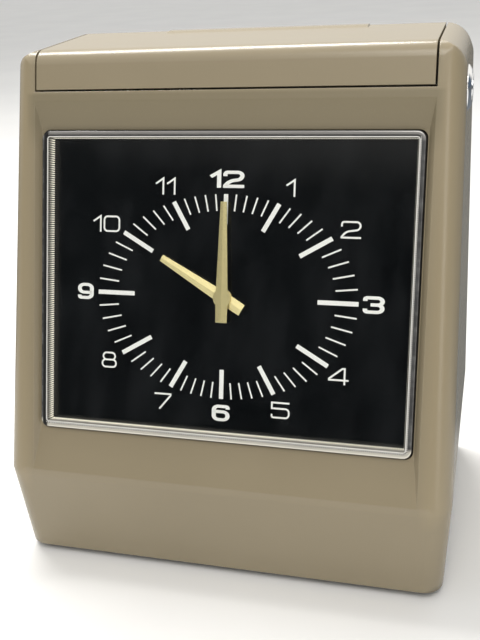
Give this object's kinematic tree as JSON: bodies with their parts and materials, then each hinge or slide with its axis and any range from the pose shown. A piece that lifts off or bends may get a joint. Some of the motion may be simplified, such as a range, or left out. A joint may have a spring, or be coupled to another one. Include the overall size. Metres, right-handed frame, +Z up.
{
  "type": "time clock",
  "caption": "Table or wall time clock: lock-up case with a sloping window over a round of hour marks, lift-up cover, card chute and a moving print head.",
  "frame": {"origin": "bottom centre of the bounding box, on the table", "axes": "+X to the viewer's right, +Y to the back, +Z up"},
  "size_m": [0.208, 0.1389, 0.236],
  "materials": {
    "case": "satin moulded plastic, fine grain",
    "lens": "clear moulded window, polished rim",
    "chrome": "polished",
    "zinc_sheet": "zinc-plated sheet",
    "steel": "ground bright steel",
    "brass": "machined",
    "dial_black": "gloss black with pale printed marks",
    "hand_gold": "matte pale gold",
    "black_plastic": "moulded black",
    "grey_plastic": "moulded grey",
    "white_plastic": "natural acetal",
    "rubber": "moulded",
    "board_green": "solder mask",
    "ribbon": "inked nylon",
    "motor": "plated can",
    "core": "varnished laminations",
    "wrap_yellow": "shrink sleeve"
  },
  "bodies": {
    "frame": {"base_plate": "zinc_sheet", "back_plate": "zinc_sheet", "side_frame_left": "zinc_sheet", "side_frame_right": "zinc_sheet", "feet": "rubber", "hinge_pins": "steel", "dial_bracket": "zinc_sheet", "dial": "dial_black", "movement_front_plate": "white_plastic", "movement_rear_plate": "white_plastic", "clock_motor": "motor", "card_throat": "black_plastic", "card_guide_front": "black_plastic", "card_guide_rear": "black_plastic", "platen": "rubber", "guide_rod": "steel", "head_motor": "motor", "feed_motor": "motor", "ribbon_cassette": "grey_plastic", "ink_ribbon": "ribbon", "main_board": "board_green", "board_parts": "black_plastic", "transformer": "core", "power_inlet": "black_plastic", "battery_pack": "wrap_yellow", "control_panel": "black_plastic", "switch_board": "board_green", "lock_keeper": "zinc_sheet"},
    "case": {"front_case": "case", "window_lens": "lens", "lock_barrel": "chrome", "lock_nut": "steel"},
    "lock": {"lock_plug": "chrome", "lock_cam": "steel"},
    "cover": {"top_cover": "case"},
    "minute_arbor": {"centre_arbor": "brass", "minute_hand": "hand_gold"},
    "hour_pipe": {"hour_wheel": "brass", "hour_hand": "hand_gold"},
    "reduction_wheel": {"minute_wheel": "brass"},
    "motor_pinion": {"clock_pinion": "brass"},
    "carriage": {"print_carriage": "black_plastic", "print_head": "grey_plastic"},
    "screw": {"lead_screw": "steel", "screw_gear": "white_plastic"},
    "head_drive": {"head_pinion": "brass"},
    "feed": {"feed_shaft": "steel", "feed_rollers": "rubber", "feed_gear": "white_plastic"},
    "feed_drive": {"feed_pinion": "brass"},
    "pinch": {"pinch_shaft": "steel", "pinch_rollers": "rubber"},
    "spool_left": {"ribbon_spool_left": "black_plastic"},
    "spool_right": {"ribbon_spool_right": "black_plastic"},
    "mode_key": {"mode_button": "white_plastic"},
    "change_key": {"change_button": "white_plastic"},
    "set_key": {"set_button": "white_plastic"}
  },
  "joints": [
    {"name": "case_tilt", "type": "hinge", "parent": "frame", "child": "case", "pos_m": [0, -0.061, 0.009], "axis": [1, 0, 0], "range_deg": [0, 55]},
    {"name": "lock_turn", "type": "hinge", "parent": "case", "child": "lock", "pos_m": [0.10068, 0.00898, 0.2123], "axis": [-1, 0, 0], "range_deg": [0, 90]},
    {"name": "cover_lift", "type": "hinge", "parent": "frame", "child": "cover", "pos_m": [0, 0.0455, 0.2298], "axis": [-1, 0, 0], "range_deg": [0, 75]},
    {"name": "minute_turn", "type": "hinge", "parent": "frame", "child": "minute_arbor", "pos_m": [0, -0.0359, 0.12878], "axis": [0, 0.9527, -0.304], "continuous": true},
    {"name": "hour_turn", "type": "hinge", "parent": "frame", "child": "hour_pipe", "pos_m": [0, -0.0359, 0.12878], "axis": [0, 0.9527, -0.304], "continuous": true},
    {"name": "reduction_turn", "type": "hinge", "parent": "frame", "child": "reduction_wheel", "pos_m": [-0.01018, -0.02718, 0.11531], "axis": [0, 0.9527, -0.304], "continuous": true},
    {"name": "motor_pinion_turn", "type": "hinge", "parent": "frame", "child": "motor_pinion", "pos_m": [0.01409, -0.02062, 0.12929], "axis": [0, 0.9527, -0.304], "continuous": true},
    {"name": "carriage_travel", "type": "slide", "parent": "frame", "child": "carriage", "axis": [1, 0, 0], "range_m": [0, 0.064]},
    {"name": "screw_turn", "type": "hinge", "parent": "frame", "child": "screw", "pos_m": [0, 0.018, 0.133], "axis": [1, 0, 0], "range_deg": [0, 1800.1]},
    {"name": "head_drive_turn", "type": "hinge", "parent": "frame", "child": "head_drive", "pos_m": [-0.095, 0.00068, 0.123], "axis": [1, 0, 0], "range_deg": [-4630, 0]},
    {"name": "feed_turn", "type": "hinge", "parent": "frame", "child": "feed", "pos_m": [0, 0.0459, 0.112], "axis": [1, 0, 0], "continuous": true},
    {"name": "feed_drive_turn", "type": "hinge", "parent": "frame", "child": "feed_drive", "pos_m": [0.095, 0.02858, 0.102], "axis": [1, 0, 0], "continuous": true},
    {"name": "pinch_turn", "type": "hinge", "parent": "frame", "child": "pinch", "pos_m": [0.005, 0.0584, 0.112], "axis": [1, 0, 0], "continuous": true},
    {"name": "spool_left_turn", "type": "hinge", "parent": "frame", "child": "spool_left", "pos_m": [-0.058, 0.03, 0.15], "axis": [0, 0, 1], "continuous": true},
    {"name": "spool_right_turn", "type": "hinge", "parent": "frame", "child": "spool_right", "pos_m": [0.068, 0.03, 0.15], "axis": [0, 0, 1], "continuous": true},
    {"name": "mode_press", "type": "slide", "parent": "frame", "child": "mode_key", "axis": [0, 0, -1], "range_m": [0, 0.0015], "stiffness_N_per_m": 200},
    {"name": "change_press", "type": "slide", "parent": "frame", "child": "change_key", "axis": [0, 0, -1], "range_m": [0, 0.0015], "stiffness_N_per_m": 200},
    {"name": "set_press", "type": "slide", "parent": "frame", "child": "set_key", "axis": [0, 0, -1], "range_m": [0, 0.0015], "stiffness_N_per_m": 200}
  ],
  "couplings": [
    {"joint": "hour_turn", "follows": "minute_turn", "ratio": 0.083333},
    {"joint": "reduction_turn", "follows": "minute_turn", "ratio": -0.33333},
    {"joint": "motor_pinion_turn", "follows": "minute_turn", "ratio": -4},
    {"joint": "screw_turn", "follows": "carriage_travel", "rad_per_m": 490.87},
    {"joint": "head_drive_turn", "follows": "carriage_travel", "rad_per_m": -1262.2},
    {"joint": "feed_drive_turn", "follows": "feed_turn", "ratio": -2.5714},
    {"joint": "pinch_turn", "follows": "feed_turn", "ratio": -1.4},
    {"joint": "spool_right_turn", "follows": "spool_left_turn", "ratio": 0.81818}
  ]
}
